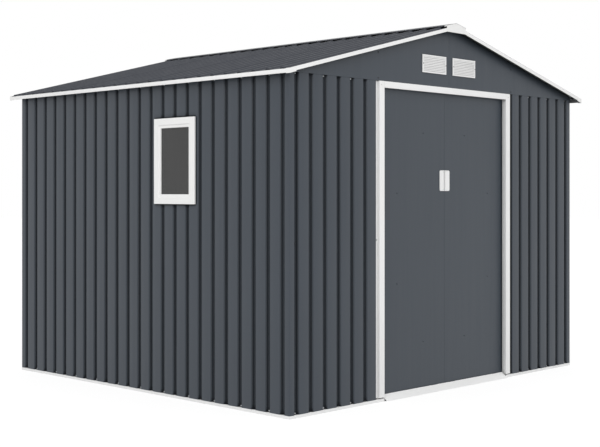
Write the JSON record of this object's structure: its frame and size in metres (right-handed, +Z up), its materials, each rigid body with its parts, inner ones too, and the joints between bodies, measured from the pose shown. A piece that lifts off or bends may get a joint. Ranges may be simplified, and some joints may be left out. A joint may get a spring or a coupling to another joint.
{
  "type": "metal storage shed",
  "caption": "Metal garden storage shed with ribbed grey steel walls, a low gable roof, white trims, louvred gable vents, a side window and sliding front doors with cup pulls.",
  "frame": {"origin": "middle of the footprint, on the ground", "axes": "+X to the right across the front, +Y from the front to the back, +Z up; the doors face -Y"},
  "size_m": [2.6764, 2.4716, 2.0664],
  "materials": {
    "grey_sheet": "satin",
    "white_trim": "satin",
    "zinc_steel": "spangled zinc",
    "white_plastic": "moulded",
    "dark_plastic": "moulded",
    "window_glazing": "smooth"
  },
  "bodies": {
    "shed_body": {"base_rail_left": "white_trim", "base_rail_right": "white_trim", "base_rail_back": "white_trim", "base_rail_front": "white_trim", "corner_panel_front_left": "grey_sheet", "corner_panel_front_right": "grey_sheet", "corner_panel_back_left": "grey_sheet", "corner_panel_back_right": "grey_sheet", "front_wall_left": "grey_sheet", "front_wall_right": "grey_sheet", "left_wall_window_panel": "grey_sheet", "left_wall_panel": "grey_sheet", "right_wall_panels": "grey_sheet", "back_wall_panels": "grey_sheet", "window_frame": "white_plastic", "window_pane": "window_glazing", "front_gable": "grey_sheet", "back_gable": "grey_sheet", "front_vents": "white_plastic", "back_vents": "white_plastic", "left_roof_panels": "grey_sheet", "right_roof_panels": "grey_sheet", "front_verge_trims": "white_trim", "back_verge_trims": "white_trim", "eave_trims": "white_trim", "roof_corner_caps": "white_plastic", "ridge_cap": "grey_sheet", "ridge_end_caps": "white_plastic", "wall_top_rails": "zinc_steel", "wall_mid_rails": "zinc_steel", "roof_beams": "zinc_steel", "door_jamb_left": "white_trim", "door_jamb_right": "white_trim", "door_header": "white_trim", "door_sill": "white_trim", "lower_door_track": "zinc_steel", "upper_door_track": "zinc_steel"},
    "left_door_leaf": {"left_door": "grey_sheet", "left_door_stiffeners": "zinc_steel", "left_door_slides": "dark_plastic", "left_door_pull": "white_plastic"},
    "right_door_leaf": {"right_door": "grey_sheet", "right_door_stiffeners": "zinc_steel", "right_door_slides": "dark_plastic", "right_door_pull": "white_plastic"}
  },
  "joints": [
    {"name": "left_door_slide", "type": "slide", "parent": "shed_body", "child": "left_door_leaf", "axis": [-1, 0, 0], "range_m": [0, 0.505]},
    {"name": "right_door_slide", "type": "slide", "parent": "shed_body", "child": "right_door_leaf", "axis": [1, 0, 0], "range_m": [0, 0.505]}
  ]
}
